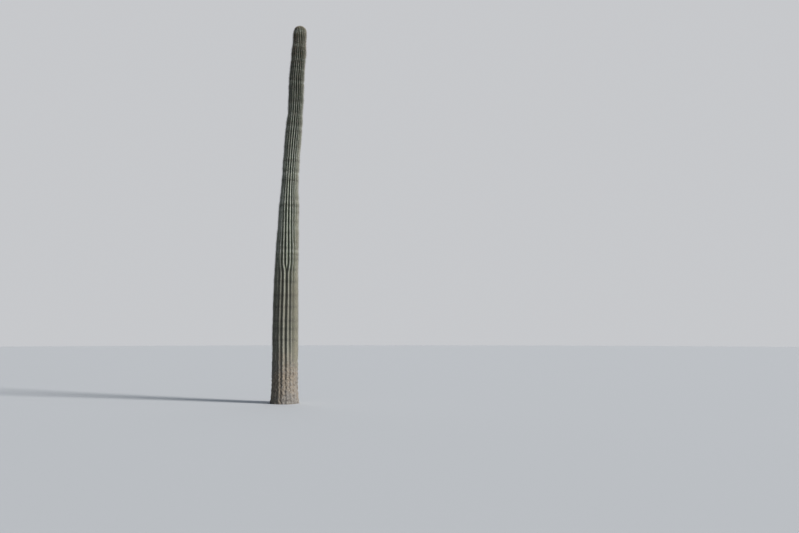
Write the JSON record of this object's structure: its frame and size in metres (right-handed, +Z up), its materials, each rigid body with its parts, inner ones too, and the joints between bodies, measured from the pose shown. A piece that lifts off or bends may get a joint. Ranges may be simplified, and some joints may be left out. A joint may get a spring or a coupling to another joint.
{
  "type": "saguaro cactus",
  "caption": "Tall armless saguaro cactus: one ribbed, slightly leaning column on a flared foot, with rows of spines along its ribs and a felted tip.",
  "frame": {"origin": "middle of the flat cut under the column, at ground level", "axes": "+Z up; the front looks along -Y; +X is to the right seen from the front, the side the column leans to"},
  "size_m": [0.6948, 0.6071, 8.03],
  "materials": {
    "ribbed_skin": "waxy grey-green living skin, matt, corky and tan at the foot",
    "spines": "weathered straw-grey spines, matt",
    "felt": "dense tan felt and bristles, matt"
  },
  "bodies": {
    "root": {"trunk": "ribbed_skin", "spine_row_01_lower": "spines", "spine_row_01_upper": "spines", "spine_row_02_lower": "spines", "spine_row_02_upper": "spines", "spine_row_03_lower": "spines", "spine_row_03_upper": "spines", "spine_row_04_lower": "spines", "spine_row_04_upper": "spines", "spine_row_05_lower": "spines", "spine_row_05_upper": "spines", "spine_row_06_lower": "spines", "spine_row_06_upper": "spines", "spine_row_07_lower": "spines", "spine_row_07_upper": "spines", "spine_row_08_lower": "spines", "spine_row_08_upper": "spines", "spine_row_09_lower": "spines", "spine_row_09_upper": "spines", "spine_row_10_lower": "spines", "spine_row_10_upper": "spines", "spine_row_11_lower": "spines", "spine_row_11_upper": "spines", "spine_row_12_lower": "spines", "spine_row_12_upper": "spines", "spine_row_13_lower": "spines", "spine_row_13_upper": "spines", "spine_row_14_lower": "spines", "spine_row_14_upper": "spines", "spine_row_15_lower": "spines", "spine_row_15_upper": "spines", "spine_row_16_lower": "spines", "spine_row_16_upper": "spines", "spine_row_17_lower": "spines", "spine_row_17_upper": "spines", "spine_row_18_lower": "spines", "spine_row_18_upper": "spines", "spine_row_19_lower": "spines", "spine_row_19_upper": "spines", "spine_row_20_lower": "spines", "spine_row_20_upper": "spines", "spine_row_21_lower": "spines", "spine_row_21_upper": "spines", "spine_row_22_lower": "spines", "spine_row_22_upper": "spines", "crown_tuft": "felt"}
  },
  "joints": []
}
